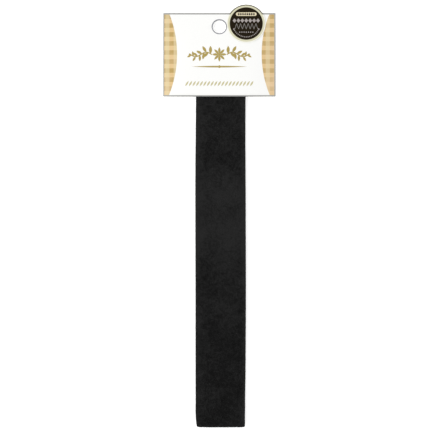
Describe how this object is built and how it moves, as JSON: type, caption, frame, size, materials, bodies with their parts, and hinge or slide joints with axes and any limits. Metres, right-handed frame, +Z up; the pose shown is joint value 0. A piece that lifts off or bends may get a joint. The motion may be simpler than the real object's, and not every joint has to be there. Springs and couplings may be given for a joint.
{
  "type": "non-slip headband on a header card",
  "caption": "Wide black stretch headband with silicone grip lines inside, pressed flat and tucked into a folded white header card with a round hang hole and a round label.",
  "frame": {"origin": "centre of the whole set's footprint, on the surface that it lies on", "axes": "+X to the right, +Y along the band from its free end to the card's folded top edge, +Z up, out of the front face"},
  "size_m": [0.0674, 0.2536, 0.0064],
  "materials": {
    "elastic": "matte",
    "silicone": "satin",
    "board": "satin",
    "label_paper": "gloss",
    "glue": "satin"
  },
  "bodies": {
    "root": {"elastic_band": "elastic", "grip_line_1": "silicone", "grip_line_2": "silicone", "grip_line_3": "silicone", "header_card": "board", "round_label": "label_paper", "glue_pad_front": "glue", "glue_pad_back": "glue"}
  },
  "joints": []
}
